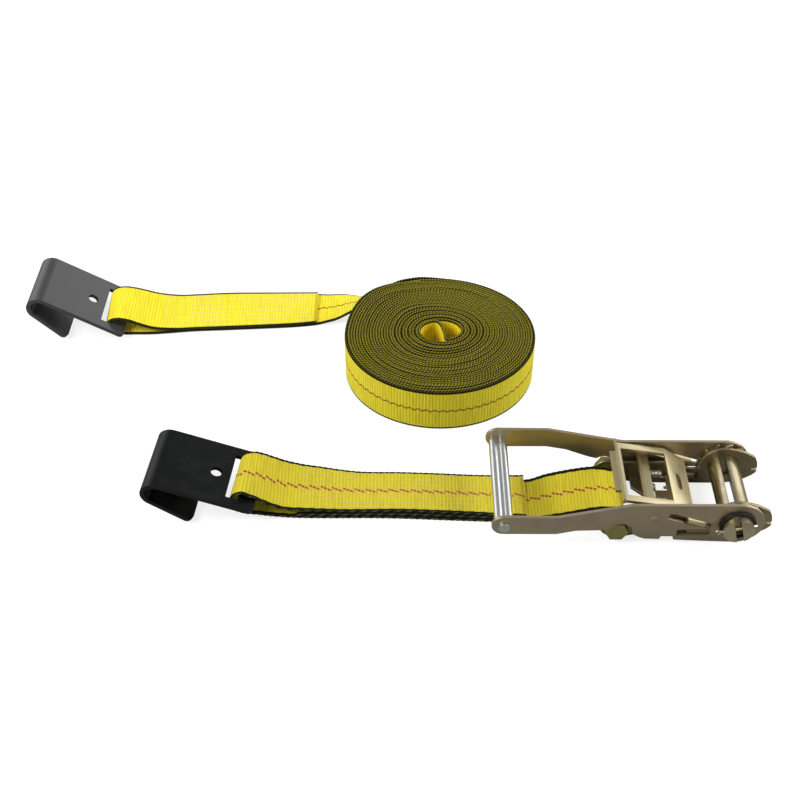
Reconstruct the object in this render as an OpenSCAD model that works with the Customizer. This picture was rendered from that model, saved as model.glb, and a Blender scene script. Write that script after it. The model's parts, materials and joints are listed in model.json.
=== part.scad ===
// Two-piece ratchet tie down with flat hooks.
//
// A short strap sewn to a ratchet and flat hook lies beside a long strap that
// is coiled on edge and ends in its own flat hook.
// Origin: on the spindle axis, midway between the side plates.
// +X points away from the hooks, +Y towards the coiled strap, +Z up.
// The parts rest on the plane z = -floor_drop.

/* [Webbing] */
// Webbing width
web_w = 50.5; // [25:0.5:60]
// Webbing thickness
web_t = 2.5; // [1.5:0.1:4]
// Layers sewn together in the middle of the short strap
sewn_layers = 3; // [2:1:4]

/* [Ratchet frame] */
// Clear width between the frame plates
frame_gap = 65; // [56:1:80]
// Plate thickness used for frame and handle
plate_t = 3; // [2:0.5:5]
// Anchor bolt distance from the spindle
anchor_reach = 110; // [90:1:130]
// Anchor bolt depth below the spindle
anchor_drop = 9.5; // [4:0.5:12]
// Radius of the sleeve on the anchor bolt
sleeve_r = 7.6; // [6.5:0.1:9]

/* [Spindle] */
// Radius of the two half bars together
spindle_r = 14.5; // [12:0.5:16]
// Width of the web slot between the half bars
slot_w = 6.5; // [5:0.5:8]
// Half length of the spindle
spindle_half = 51; // [46:1:56]
// Number of ratchet teeth
teeth = 12; // [10:1:16]
// Tip radius of the ratchet wheels
wheel_tip_r = 24.5; // [23:0.5:26]
// Root radius of the ratchet wheels
wheel_root_r = 18.5; // [17:0.5:20]
// Thickness of the ratchet wheels
wheel_t = 2.6; // [2:0.1:4]

/* [Handle] */
// Distance from spindle to grip
handle_reach = 216; // [180:1:240]
// Half width over the flared handle arms
flare_half = 57; // [50:1:64]
// Half width over the handle plates at the spindle
handle_half = 41.8; // [38:1:46]
// Radius of the round handle end
handle_end_r = 25; // [24:0.5:26]
// Height of the handle arms
arm_h = 23; // [18:1:28]
// Grip bar width
grip_w = 17.5; // [14:0.5:22]

/* [Pawls] */
// Slope of the drive pawl
drive_tilt = 19.9; // [15:0.1:25]
// Thickness of both pawls
pawl_t = 3; // [2:0.5:4]

/* [Flat hooks] */
// Hook plate width
hook_w = 73; // [66:1:90]
// Hook plate thickness
hook_t = 4.5; // [3:0.5:6]
// Plate length from web slot to bend
hook_len = 63; // [50:1:80]
// Mid radius of the bend
bend_r = 11.8; // [8:0.2:16]
// Bend angle
bend_angle = 163.75; // [140:0.25:180]
// Length of the return leg
leg_len = 44.5; // [30:0.5:60]
// Radius of the hole in the plate
hole_r = 5.5; // [4:0.5:7]

/* [Coiled strap] */
// Overall length of the coil
roll_l = 199; // [150:1:240]
// Overall width of the coil
roll_w = 183; // [140:1:220]

/* [Hidden] */
$fn = 64;
floor_drop = 25;
fit_gap = 0.08;
rim_r = 22;
arm_top = 27;
grip_z = 14;
rivet_r = 3;
wheel_gap = 0.25;
frame_in = frame_gap / 2;
frame_out = frame_in + plate_t;
wheel_in = frame_out + wheel_gap;
handle_in = handle_half - plate_t;
anchor_x = -anchor_reach;
anchor_z = -anchor_drop;
anchor_lobe_r = 15;
bolt_r = 5.8;
head_af = 19;
head_h = 7.5;
washer_r = 9.5;
washer_t = 1.2;
lock_z = -14.5;
lock_tip = -17;
lock_slot_x = -70;
tab_x = -81;
tab_z = -17;
spring_y = 17;
tie_x = -78.5;
tie_z = 9.5;
slot_lean = 15;
hook_slot = 12;
hook_bar = 16;
hook_slot_w = 53;
hook_hole_at = 14.2;
leg_inset = 0.1;
leg_t = hook_t - leg_inset;
leg_lap = 0.5;
leg_corner_r = 7;
end_corner_r = 5;
short_yaw = -6.15;
short_pitch = 16.34;
short_bar = [-451.2, 10.1, -0.1];
short_loop_r = 11;
long_yaw = -1.66;
long_pitch = 30.64;
long_bar = [-617.5, 276.9, -13.6];
long_loop_r = 8.9;
roll_at = [-268.5, 197.2];
core_at = [-267.2, 202.3];
tail_end = -403;

// Extrude a side profile drawn in x and z between two y positions.
module side(y0, y1) {
  translate([0, y1, 0])
    rotate([90, 0, 0])
      linear_extrude(y1 - y0)
        children();
}

// A cylinder along y between two y positions.
module rod(r, y0, y1) {
  translate([0, y1, 0])
    rotate([90, 0, 0])
      cylinder(r = r, h = y1 - y0);
}

// Move a child into the plane of the drive pawl, x along the pawl.
module in_drive_plane() {
  translate([-38, 0, 2])
    rotate([0, drive_tilt, 0])
      children();
}

/* Frame */

// Outline of a frame plate from the anchor lobe to the cam, without its round rims.
module frame_outline() {
  polygon([
    [anchor_x, anchor_z + 14.5], [-90, 3.5], [-54, 3.5], [-50, 2.2], [-31, -5], [-21, -5],
    [-16, 14], [-2, rim_r - 1], [11, 20], [19, 17], [25, 13.4], [29.5, 10.5],
    [32.5, 4], [33.6, -2], [33.6, -4], [28.5, -4.4], [28.5, -6.4], [34.2, -7.2],
    [33.4, -10], [30, -14], [24.5, -18], [17, -21.8], [8, -24], [0, -24.6],
    [-10, -24.9], [-35, -24.6], [-84.5, -24.4], [-87, -22.7], [-90, -21.9],
    [-94, -22.4], [-99, -23.7], [anchor_x, anchor_z - 8]
  ]);
}

module frame_slots() {
  translate([lock_slot_x, lock_z - 3.5])
    square([-22.8 - lock_slot_x, 7.5]);
  translate([tab_x - 3.2, tab_z - 1.7])
    square([6.4, 3.4]);
}

// A frame plate whose inner or lower face is at y0.
module frame_plate(y0) {
  y1 = y0 + plate_t;
  color([0.42, 0.39, 0.28])
    difference() {
      union() {
        rod(rim_r, y0, y1);
        translate([anchor_x, 0, anchor_z])
          rod(anchor_lobe_r, y0, y1);
        side(y0, y1)
          frame_outline();
      }
      rod(spindle_r + fit_gap, y0 - 1, y1 + 1);
      translate([anchor_x, 0, anchor_z])
        rod(bolt_r + fit_gap, y0 - 1, y1 + 1);
      side(y0 - 1, y1 + 1)
        frame_slots();
    }
}

module frame_plate_near() {
  frame_plate(-frame_out);
}

module frame_plate_far() {
  frame_plate(frame_in);
}

module frame_spring_plate() {
  depth = 14;
  notch_half = 9;
  corner = 10;
  color([0.42, 0.39, 0.28]) {
    for (s = [-1, 1])
      translate([tab_x - 7, 0, tab_z - 1.5])
        linear_extrude(3)
          difference() {
            polygon([
              [corner, s * notch_half], [depth, s * notch_half], [depth, s * (frame_in - 0.05)],
              [0, s * (frame_in - 0.05)], [0, s * (notch_half + corner)]
            ]);
            translate([corner, s * (notch_half + corner)])
              rotate(s > 0 ? 180 : 90)
                difference() {
                  square(corner);
                  circle(r = corner);
                }
          }
    translate([tab_x + 5, -frame_in + 0.05, tab_z - 1.5])
      cube([2, frame_gap - 0.1, 3]);
    translate([tab_x - 3, -frame_out, tab_z - 1.5])
      cube([6, plate_t + 1, 3]);
    translate([tab_x - 3, frame_in - 1, tab_z - 1.5])
      cube([6, plate_t + 1, 3]);
    for (y = [-spring_y, spring_y]) {
      translate([tab_x + 4, y - 5, tab_z - 1.5])
        cube([3, 10, 10]);
      translate([tab_x + 6, y, lock_z])
        rotate([0, 90, 0])
          cylinder(r = 2.4, h = 5);
    }
  }
}

module anchor_bolt() {
  color([0.62, 0.60, 0.46])
    translate([anchor_x, 0, anchor_z]) {
      rod(bolt_r, -frame_out - washer_t, handle_half + 4);
      rod(head_af / 2 / cos(30), -frame_out - washer_t - head_h, -frame_out - washer_t, $fn = 6);
    }
}

module anchor_nut() {
  color([0.62, 0.60, 0.46])
    translate([anchor_x, 0, anchor_z])
      difference() {
        rod(head_af / 2 / cos(30), frame_out + washer_t, frame_out + washer_t + head_h, $fn = 6);
        rod(bolt_r + 0.05, frame_out, handle_half + 10);
      }
}

module anchor_washers() {
  color([0.62, 0.60, 0.46])
    translate([anchor_x, 0, anchor_z])
      difference() {
        union() {
          rod(washer_r, -frame_out - washer_t, -frame_out);
          rod(washer_r, frame_out, frame_out + washer_t);
        }
        rod(bolt_r + 0.05, -frame_out - 5, frame_out + 5);
      }
}

module anchor_sleeve() {
  color([0.62, 0.60, 0.46])
    translate([anchor_x, 0, anchor_z])
      difference() {
        rod(sleeve_r, -frame_in + 0.3, frame_in - 0.3);
        rod(bolt_r + fit_gap, -frame_in, frame_in);
      }
}

module lock_pawl() {
  ear = handle_in - 0.5;
  back = -54;
  front = -34;
  tongue_half = 12;
  color([0.80, 0.76, 0.60])
    difference() {
      union() {
        translate([back, -frame_in + 0.8, lock_z - pawl_t / 2])
          cube([front - back, frame_gap - 1.6, pawl_t]);
        translate([back - 12, -tongue_half, lock_z - pawl_t / 2])
          cube([13, 2 * tongue_half, pawl_t]);
        translate([-44, -ear, lock_z - pawl_t / 2])
          cube([19, 2 * ear, pawl_t]);
        for (s = [-1, 1])
          wheel_layer(s)
            translate([-44, lock_z - pawl_t / 2])
              square([lock_tip + 44, pawl_t]);
        for (y = [-spring_y, spring_y])
          translate([back - 3, y, lock_z])
            rotate([0, 90, 0])
              cylinder(r = 1.4, h = 4);
      }
      translate([front, -frame_in + 0.8, lock_z - 4])
        cube([20, frame_gap - 1.6, 8]);
    }
}

// Extrude a side profile through the thickness of one ratchet wheel.
module wheel_layer(s) {
  mid = s * (wheel_in + wheel_t / 2);
  side(mid - wheel_t / 2, mid + wheel_t / 2)
    children();
}

// A spring seen as a wavy sleeve, drawn along x.
module spring_sleeve(len, r, wire) {
  turns = floor(len / (wire * 1.5));
  pitch = len / turns;
  rotate([0, 90, 0])
    rotate_extrude() {
      translate([r - wire / 4, 0])
        square([wire / 2, len]);
      for (i = [0 : turns - 1])
        translate([r, pitch * (i + 0.5)])
          circle(d = wire, $fn = 16);
    }
}

module lock_pawl_springs() {
  color([0.70, 0.70, 0.68])
    for (y = [-spring_y, spring_y])
      translate([tab_x + 7.1, y, lock_z])
        spring_sleeve(9.5, 3.4, 1.2);
}

/* Handle */

module handle_side() {
  arm_z = arm_top - arm_h / 2;
  difference() {
    union() {
      circle(r = handle_end_r);
      translate([-handle_reach, arm_z])
        circle(r = arm_h / 2);
      polygon([
        [0, handle_end_r], [-98, 25.5], [-handle_reach, arm_top], [-handle_reach, arm_top - arm_h],
        [-150, 4], [-128, -1], [-97, -4], [-95, -14], [-88, -18.5], [-83, -20.5],
        [-69, -21], [-68, -17], [-57, -17], [-56, -21.8], [-30, -23.5], [0, -handle_end_r]
      ]);
    }
    circle(r = 15.5);
    translate([anchor_x, anchor_z])
      circle(r = 12.5);
    translate([-54, -16])
      square([31, 8]);
    polygon([[-62.6, 15], [-22.1, 0.3], [-24.8, -7], [-65.3, 7.7]]);
    translate([tie_x - 3.1, tie_z - 2.1])
      square([6.2, 4.2]);
  }
}

module handle_plan(s) {
  polygon([
    [30, s * handle_half], [-98, s * handle_half], [-168, s * flare_half],
    [-240, s * flare_half], [-240, s * (flare_half - plate_t)],
    [-168.5, s * (flare_half - plate_t)], [-98.5, s * handle_in], [30, s * handle_in]
  ]);
}

module handle_plate(s) {
  color([0.45, 0.41, 0.30])
    difference() {
      intersection() {
        side(-flare_half - 1, flare_half + 1)
          handle_side();
        translate([0, 0, -30])
          linear_extrude(70)
            handle_plan(s);
      }
      translate([-handle_reach, 0, grip_z])
        rod(rivet_r + 0.1, -flare_half - 2, flare_half + 2);
    }
}

module handle_plate_near() {
  handle_plate(-1);
}

module handle_plate_far() {
  handle_plate(1);
}

module handle_grip() {
  grip_half = flare_half - plate_t - 0.1;
  bead_r = 4.5;
  bead_at = grip_w / 2 - bead_r;
  color([0.75, 0.76, 0.74])
    translate([-handle_reach, 0, grip_z])
      side(-grip_half, grip_half)
        difference() {
          union() {
            for (x = [-bead_at, bead_at])
              translate([x, 0])
                circle(r = bead_r);
            square([2 * bead_at, 7], center = true);
          }
          circle(r = rivet_r + 0.05);
        }
}

module grip_rivets() {
  head_t = 1.8;
  color([0.62, 0.60, 0.46])
    translate([-handle_reach, 0, grip_z])
      for (s = [-1, 1])
        rotate(s > 0 ? 0 : 180) {
          rod(rivet_r, flare_half - 15, flare_half);
          rod(5.5, flare_half, flare_half + head_t);
        }
}

module handle_spring_plate() {
  color([0.80, 0.76, 0.60]) {
    translate([tie_x - 5, -handle_in + 0.1, tie_z - 2])
      cube([10, 2 * handle_in - 0.2, 2.5]);
    translate([tie_x - 3, -handle_half - 0.4, tie_z - 2])
      cube([6, 2 * handle_half + 0.8, 4]);
    translate([tie_x + 2.5, -27, tie_z - 9])
      cube([2.5, 54, 9]);
  }
}

module drive_pawl() {
  pull = [-107, 26.2];
  knee = [-58.5, 17.6];
  edge = [-38.5, 2.7];
  line = [pull, knee, edge];
  half = 36.5;
  lip_half = handle_in - 0.3;
  window_half = 29.5;
  color([0.84, 0.80, 0.62])
    difference() {
      union() {
        side(-half, half)
          polygon([
            for (p = line) [p[0], p[1] + 1.7],
            for (i = [2 : -1 : 0]) [line[i][0], line[i][1] - 1.7]
          ]);
        in_drive_plane() {
          translate([-9, -handle_half - 1.5, -pawl_t / 2])
            cube([18, 2 * handle_half + 3, pawl_t]);
          for (s = [-1, 1])
            wheel_layer(s)
              polygon([
                [-4, -pawl_t / 2], [11.5, -pawl_t / 2], [13, pawl_t / 2], [-4, pawl_t / 2]
              ]);
        }
        for (y = [-spring_y, spring_y])
          translate([-48, y - 5, -2])
            cube([2, 10, 11]);
        translate([pull[0] - 1, -lip_half, pull[1] - 1])
          cube([2.5, 2 * lip_half, 6]);
        translate([pull[0] - 6, -25, pull[1] - 0.8])
          cube([6, 50, 2.5]);
      }
      translate([-102, -window_half, 0])
        cube([42.5, 2 * window_half, 60]);
      in_drive_plane()
        translate([0, -wheel_in, -5])
          cube([30, 2 * wheel_in, 10]);
      hull()
        for (y = [-7, 7.5])
          translate([-48.7, y, -20])
            cylinder(r = 2.3, h = 60);
    }
}

module drive_pawl_springs() {
  color([0.70, 0.70, 0.68])
    for (y = [-spring_y, spring_y])
      translate([tie_x + 5.1, y, tie_z - 5])
        spring_sleeve(12, 3.2, 1.1);
}

/* Spindle */

module wheel_outline() {
  step = 360 / teeth;
  face = 224.5;
  difference() {
    union() {
      circle(r = wheel_root_r);
      for (k = [0 : teeth - 1])
        rotate(face + k * step)
          polygon([
            [wheel_root_r - 2, 0], [wheel_tip_r, 0],
            [wheel_tip_r * cos(4.5), wheel_tip_r * sin(4.5)],
            [(wheel_root_r + 3) * cos(12.5), (wheel_root_r + 3) * sin(12.5)],
            [wheel_root_r * cos(20), wheel_root_r * sin(20)],
            [(wheel_root_r - 4) * cos(15), (wheel_root_r - 4) * sin(15)]
          ]);
    }
    rotate(slot_lean) {
      half_bar_outline(1, 0.05);
      half_bar_outline(-1, 0.05);
    }
  }
}

// One half of the split bar, s = 1 on the +x side.
module half_bar_outline(s, grow) {
  intersection() {
    circle(r = spindle_r + grow);
    translate([s > 0 ? slot_w / 2 - grow : -slot_w / 2 - 30 + grow, -30])
      square([30, 60]);
  }
}

module ratchet_wheel_near() {
  color([0.50, 0.47, 0.36])
    side(-wheel_in - wheel_t, -wheel_in)
      wheel_outline();
}

module ratchet_wheel_far() {
  color([0.50, 0.47, 0.36])
    side(wheel_in, wheel_in + wheel_t)
      wheel_outline();
}

module half_bar(s) {
  color([0.74, 0.71, 0.60])
    rotate([0, -slot_lean, 0])
      difference() {
        side(-spindle_half, spindle_half)
          half_bar_outline(s, 0);
        for (y = [-1, 1])
          translate([-20, y * (spindle_half - 3.5), 0])
            rotate([0, 90, 0])
              cylinder(r = 1.75, h = 40);
      }
}

module spindle_half_front() {
  half_bar(-1);
}

module spindle_half_rear() {
  half_bar(1);
}

module spindle_washers() {
  near_face = handle_half + 0.3;
  far_face = near_face + 2.6;
  color([0.30, 0.29, 0.26])
    difference() {
      union() {
        rod(16.8, -far_face, -near_face);
        rod(16.8, near_face, far_face);
      }
      rod(spindle_r + 0.1, -spindle_half, spindle_half);
    }
}

// A split pin through both half bars, drawn at one end of the spindle.
module cotter_pin(s) {
  color([0.66, 0.64, 0.56])
    rotate([0, -slot_lean, 0])
      translate([0, s * (spindle_half - 3.5), 0]) {
        translate([-17, 0, 0])
          rotate([0, 90, 0])
            cylinder(r = 1.6, h = 34);
        translate([-18.5, 0, 0])
          rotate([90, 0, 0])
            rotate_extrude()
              translate([2.2, 0])
                circle(r = 0.9, $fn = 16);
      }
}

module cotter_pin_near() {
  cotter_pin(-1);
}

module cotter_pin_far() {
  cotter_pin(1);
}

/* Flat hook, drawn with the bar centre at the origin and the bend towards -x */

module flat_hook() {
  far_x = -(hook_bar / 2 + hook_slot + hook_len);
  tilt = 180 - bend_angle;
  union() {
    translate([0, 0, -hook_t / 2])
      linear_extrude(hook_t)
        difference() {
          translate([far_x, 0])
            rounded_end(hook_bar + hook_slot + hook_len, hook_w, end_corner_r);
          translate([-hook_bar / 2 - hook_slot, -hook_slot_w / 2])
            square([hook_slot, hook_slot_w]);
          translate([-hook_bar / 2 - hook_slot - hook_hole_at, 0])
            circle(r = hole_r);
        }
    translate([far_x, 0, -bend_r]) {
      hook_bend(tilt);
      rotate([0, tilt, 0])
        translate([-leg_lap, 0, -bend_r - leg_t / 2])
          linear_extrude(leg_t)
            rounded_end(leg_len + leg_lap, hook_w - leg_inset, leg_corner_r);
    }
  }
}

// The bend between the plate and the return leg, centred on the origin.
module hook_bend(tilt) {
  reach = 60;
  difference() {
    side(-hook_w / 2, hook_w / 2)
      difference() {
        circle(r = bend_r + hook_t / 2);
        circle(r = bend_r - hook_t / 2);
      }
    for (a = [0, tilt])
      rotate([0, a, 0])
        translate([0, -reach, -reach])
          cube([reach, 2 * reach, 2 * reach]);
  }
}

// A strip w wide from x = 0 to len, with its far corners rounded.
module rounded_end(len, w, r) {
  inner = w / 2 - r;
  translate([0, -w / 2])
    square([len - r, w]);
  translate([0, -inner])
    square([len, 2 * inner]);
  for (s = [-1, 1])
    translate([len - r, s * inner])
      circle(r = r);
}

module short_hook() {
  color([0.10, 0.10, 0.11])
    translate(short_bar)
      rotate([0, 0, short_yaw])
        rotate([0, short_pitch, 0])
          flat_hook();
}

module long_hook() {
  color([0.16, 0.16, 0.17])
    translate(long_bar)
      rotate([0, 0, long_yaw])
        rotate([0, long_pitch, 0])
          flat_hook();
}

/* Webbing */

// Half loop of webbing around a hook bar.
module bar_loop(at, yaw, r) {
  translate(at)
    rotate([0, 0, yaw])
      side(-web_w / 2, web_w / 2)
        difference() {
          circle(r = r + web_t);
          circle(r = r);
          translate([0, -40])
            square([80, 80]);
        }
}

// A strip whose side profile is the child and whose plan follows a centre line.
module strip_plan(a, b, c) {
  h = web_w / 2;
  translate([0, 0, -60])
    linear_extrude(120)
      polygon([
        [a[0], a[1] - h], [b[0], b[1] - h], [c[0], c[1] - h],
        [c[0], c[1] + h], [b[0], b[1] + h], [a[0], a[1] + h]
      ]);
}

module short_webbing() {
  z0 = -floor_drop;
  top = z0 + sewn_layers * web_t;
  loop = short_loop_r;
  hz = short_bar[2];
  hx = short_bar[0];
  rs = sleeve_r + 0.2;
  color([0.90, 0.83, 0.18])
    difference() {
      union() {
        bar_loop(short_bar, short_yaw, loop);
        intersection() {
          strip_plan([hx - 3.5, short_bar[1] + 0.2], [-310, 16], [anchor_x, 0]);
          side(-60, 120)
            polygon([
              [hx - 3.5, hz + loop], [hx - 3.5, hz + loop + web_t],
              [hx + 6, hz + loop + web_t], [hx + 30, hz + loop - 5],
              [hx + 62, top + 7], [hx + 88, top], [-192, top],
              [-192, top - web_t], [-150, -14.5 + web_t], [anchor_x, anchor_z + rs + web_t],
              [anchor_x, anchor_z + rs], [-150, -14.5], [-185, top - 2 * web_t],
              [-150, -23 + web_t], [anchor_x, anchor_z - rs],
              [anchor_x, anchor_z - rs - web_t], [-150, -23], [-188, z0],
              [hx + 70, z0], [hx + 38, z0 + 2], [hx + 12, hz - loop - web_t],
              [hx - 3.5, hz - loop - web_t], [hx - 3.5, hz - loop],
              [hx + 13, hz - loop], [hx + 40, z0 + 2 + web_t],
              [hx + 66, z0 + web_t + 0.6], [hx + 60, top + 7 - web_t],
              [hx + 28, hz + loop - 5 - web_t + 0.6], [hx + 5.5, hz + loop]
            ]);
        }
        translate([anchor_x, 0, anchor_z])
          side(-web_w / 2, web_w / 2)
            difference() {
              circle(r = rs + web_t);
              circle(r = rs);
              translate([-80, -40])
                square([80, 80]);
            }
      }
      translate([anchor_x, 0, anchor_z])
        rod(rs, -web_w, web_w);
    }
}

module long_webbing_tail() {
  z0 = -floor_drop;
  hx = long_bar[0];
  hz = long_bar[2];
  loop = long_loop_r;
  join_x = -340;
  color([0.92, 0.86, 0.25]) {
    bar_loop(long_bar, long_yaw, loop);
    intersection() {
      strip_plan([hx - 3, long_bar[1] + 0.1], [-530, 283], [tail_end, 293.2]);
      side(200, 400)
        polygon([
          [hx - 3, hz + loop], [hx - 3, hz + loop + web_t],
          [hx + 8, hz + loop + web_t], [hx + 30, z0 + 14],
          [hx + 55, z0 + 6.5], [hx + 80, z0 + 2 * web_t], [tail_end, z0 + 2 * web_t],
          [tail_end, z0], [hx - 3, z0], [hx - 3, z0 + web_t],
          [hx + 62, z0 + web_t], [hx + 52, z0 + 6.5 - web_t + 0.4],
          [hx + 29, z0 + 14 - web_t], [hx + 7, hz + loop]
        ]);
    }
    tail_turn(tail_end, 318.5, 0, -380, 319.5, 6);
    tail_turn(-380, 319.5, 6, -360, 317, 27);
    tail_turn(-360, 317, 27, join_x, 312, 50);
    tail_turn(join_x, 312, 50, -310, 303, 75);
    tail_turn(-310, 303, 75, -290, 296.5, 86);
    tail_turn(-290, 296.5, 86, -272, 291.5, 90);
  }
}

// One piece of the tail between two cross sections turned about its far edge.
module tail_turn(x0, y0, a0, x1, y1, a1) {
  hull() {
    tail_section(x0 - 0.1, y0, a0);
    tail_section(x1, y1, a1);
  }
}

module tail_section(x, y, a) {
  translate([x, y, -floor_drop])
    rotate([-a, 0, 0])
      translate([0, -web_w, 0])
        cube([0.2, web_w, web_t]);
}

module roll_oval(l, w) {
  for (s = [-1, 1])
    translate([s * (l - w) / 2, 0])
      circle(r = w / 2);
  square([l - w, w], center = true);
}

module long_webbing_roll() {
  color([0.52, 0.49, 0.17])
    translate([roll_at[0], roll_at[1], -floor_drop])
      linear_extrude(web_w) {
        difference() {
          roll_oval(roll_l, roll_w);
          translate(core_at - roll_at)
            core_hole();
        }
        translate(core_at - roll_at)
          core_fold();
      }
}

// Opening left at the middle of the coil.
module core_hole() {
  translate([-11, 6])
    circle(r = 12);
  translate([12, -6])
    circle(r = 11);
}

// The doubled web that starts the coil.
module core_fold() {
  rotate(-28)
    square([46, 2 * web_t], center = true);
}

frame_plate_near();
frame_plate_far();
frame_spring_plate();
anchor_bolt();
anchor_nut();
anchor_washers();
anchor_sleeve();
lock_pawl();
lock_pawl_springs();
handle_plate_near();
handle_plate_far();
handle_grip();
grip_rivets();
handle_spring_plate();
drive_pawl();
drive_pawl_springs();
ratchet_wheel_near();
ratchet_wheel_far();
spindle_half_front();
spindle_half_rear();
spindle_washers();
cotter_pin_near();
cotter_pin_far();
short_webbing();
short_hook();
long_webbing_roll();
long_webbing_tail();
long_hook();
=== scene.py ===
"""Looks of a two-piece ratchet tie down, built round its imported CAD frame.

The metal parts are the CAD nodes with finished materials and eased edges. The webbing, the coil and the
springs are modelled here and stand for the plain CAD solids. Lengths below are millimetres unless a name
says otherwise, and MM turns them into Blender's metres.
"""

import json
import math
import random

import bpy
import numpy as np
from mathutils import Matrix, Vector


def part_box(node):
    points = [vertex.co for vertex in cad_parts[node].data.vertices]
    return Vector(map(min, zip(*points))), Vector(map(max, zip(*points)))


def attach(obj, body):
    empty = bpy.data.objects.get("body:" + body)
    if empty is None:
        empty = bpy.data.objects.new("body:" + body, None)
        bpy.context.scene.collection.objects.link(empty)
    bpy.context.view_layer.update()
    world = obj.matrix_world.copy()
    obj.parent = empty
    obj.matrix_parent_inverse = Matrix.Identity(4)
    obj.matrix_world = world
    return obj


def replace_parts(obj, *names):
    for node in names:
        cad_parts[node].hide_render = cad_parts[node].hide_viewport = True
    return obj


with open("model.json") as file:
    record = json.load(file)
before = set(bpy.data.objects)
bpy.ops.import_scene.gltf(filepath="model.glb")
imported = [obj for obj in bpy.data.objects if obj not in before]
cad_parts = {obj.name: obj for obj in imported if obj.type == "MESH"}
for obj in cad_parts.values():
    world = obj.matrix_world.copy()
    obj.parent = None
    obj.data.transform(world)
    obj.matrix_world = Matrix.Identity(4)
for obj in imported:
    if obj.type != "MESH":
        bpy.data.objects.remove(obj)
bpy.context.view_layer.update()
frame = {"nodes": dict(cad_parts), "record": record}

MM = 0.001
rng = random.Random(7)

# ---------------------------------------------------------------- frame values


def joint_at(name):
    """Place of a joint in millimetres."""
    for joint in frame["record"]["behaviour"]["joints"]:
        if joint["name"] == name:
            return np.array(joint["pos_m"], float) / MM
    raise KeyError(name)


def box_mm(node):
    """Lowest and highest corner of a CAD node in millimetres."""
    lo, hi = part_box(node)
    return np.array(lo, float) / MM, np.array(hi, float) / MM


SHORT_BAR = joint_at("short_hook_swing")
LONG_BAR = joint_at("long_hook_swing")
BOLT = joint_at("short_strap_swing")
ROLL_LO, ROLL_HI = box_mm("long_webbing_roll")
FLOOR = ROLL_LO[2]
SLEEVE_R = np.ptp([box_mm("anchor_sleeve")[0][2], box_mm("anchor_sleeve")[1][2]]) / 2

# ---------------------------------------------------------------- webbing sizes

WEB_W = 50.5
WEB_T = 2.4
HALF = WEB_W / 2
LAYER = 2.5
RIB = 3.3
RIB_RISE = 0.11
SELVEDGE = 2.6
EDGE_CROWN = HALF - WEB_T / 2 + math.pi * WEB_T / 4
WARP = 1.3
DASH = 3.6
SELVEDGE_EXTRA = 1.4
# Added to the u of faces on a web's back, so that a material can tell them from its front.
BACK_OF_WEB = 66000.0
BLACK = (0.005, 0.006, 0.002)

# ---------------------------------------------------------------- node graphs


class Graph:
    """The node tree of a material or world, with short calls for what is built below."""

    def __init__(self, owner):
        owner.use_nodes = True
        self.owner = owner
        self.tree = owner.node_tree

    def link(self, value, socket):
        """Join an output to a socket, or set the socket from a number or a colour."""
        if isinstance(value, bpy.types.NodeSocket):
            self.tree.links.new(value, socket)
        elif hasattr(socket.default_value, "__len__") and len(value) == 3:
            socket.default_value = (*value, 1.0) if len(socket.default_value) == 4 else value
        else:
            socket.default_value = value

    def node(self, kind, **settings):
        """A new node with its settings."""
        node = self.tree.nodes.new(kind)
        for key, value in settings.items():
            setattr(node, key, value)
        return node

    def math(self, op, *values, clamp=False):
        node = self.node("ShaderNodeMath", operation=op, use_clamp=clamp)
        for i, value in enumerate(values):
            self.link(value, node.inputs[i])
        return node.outputs[0]

    def ramp(self, value, low, high):
        """0 below low, 1 above high, smooth between."""
        node = self.node("ShaderNodeMapRange", interpolation_type="SMOOTHSTEP")
        self.link(value, node.inputs["Value"])
        self.link(low, node.inputs["From Min"])
        self.link(high, node.inputs["From Max"])
        return node.outputs["Result"]

    def mix(self, factor, a, b):
        node = self.node("ShaderNodeMix", data_type="RGBA")
        self.link(factor, node.inputs[0])
        self.link(a, node.inputs[6])
        self.link(b, node.inputs[7])
        return node.outputs[2]

    def scaled(self, vector, scale):
        node = self.node("ShaderNodeMapping")
        self.link(vector, node.inputs["Vector"])
        node.inputs["Scale"].default_value = scale
        return node.outputs[0]

    def noise(self, vector, scale, detail=3.0, rough=0.5):
        node = self.node("ShaderNodeTexNoise")
        self.link(vector, node.inputs["Vector"])
        node.inputs["Scale"].default_value = scale
        node.inputs["Detail"].default_value = detail
        node.inputs["Roughness"].default_value = rough
        return node.outputs["Fac"]

    def place(self):
        return self.node("ShaderNodeTexCoord").outputs["Object"]

    def uv(self):
        """The UV vector, and its parts along and across a web in millimetres."""
        coord = self.node("ShaderNodeTexCoord").outputs["UV"]
        split = self.node("ShaderNodeSeparateXYZ")
        self.tree.links.new(coord, split.inputs[0])
        return coord, split.outputs[0], split.outputs[1]

    def bump(self, height, distance, strength):
        node = self.node("ShaderNodeBump")
        self.link(height, node.inputs["Height"])
        node.inputs["Distance"].default_value = distance
        node.inputs["Strength"].default_value = strength
        return node.outputs[0]

    def finish(self, **inputs):
        """Feed the surface shader; an underscore stands for a space in an input's name."""
        shader = self.tree.nodes["Principled BSDF"]
        for key, value in inputs.items():
            self.link(value, shader.inputs[key.replace("_", " ")])
        return self.owner


def material_graph(name):
    """The graph of a new material."""
    return Graph(bpy.data.materials.new(name))


# ---------------------------------------------------------------- materials


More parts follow.
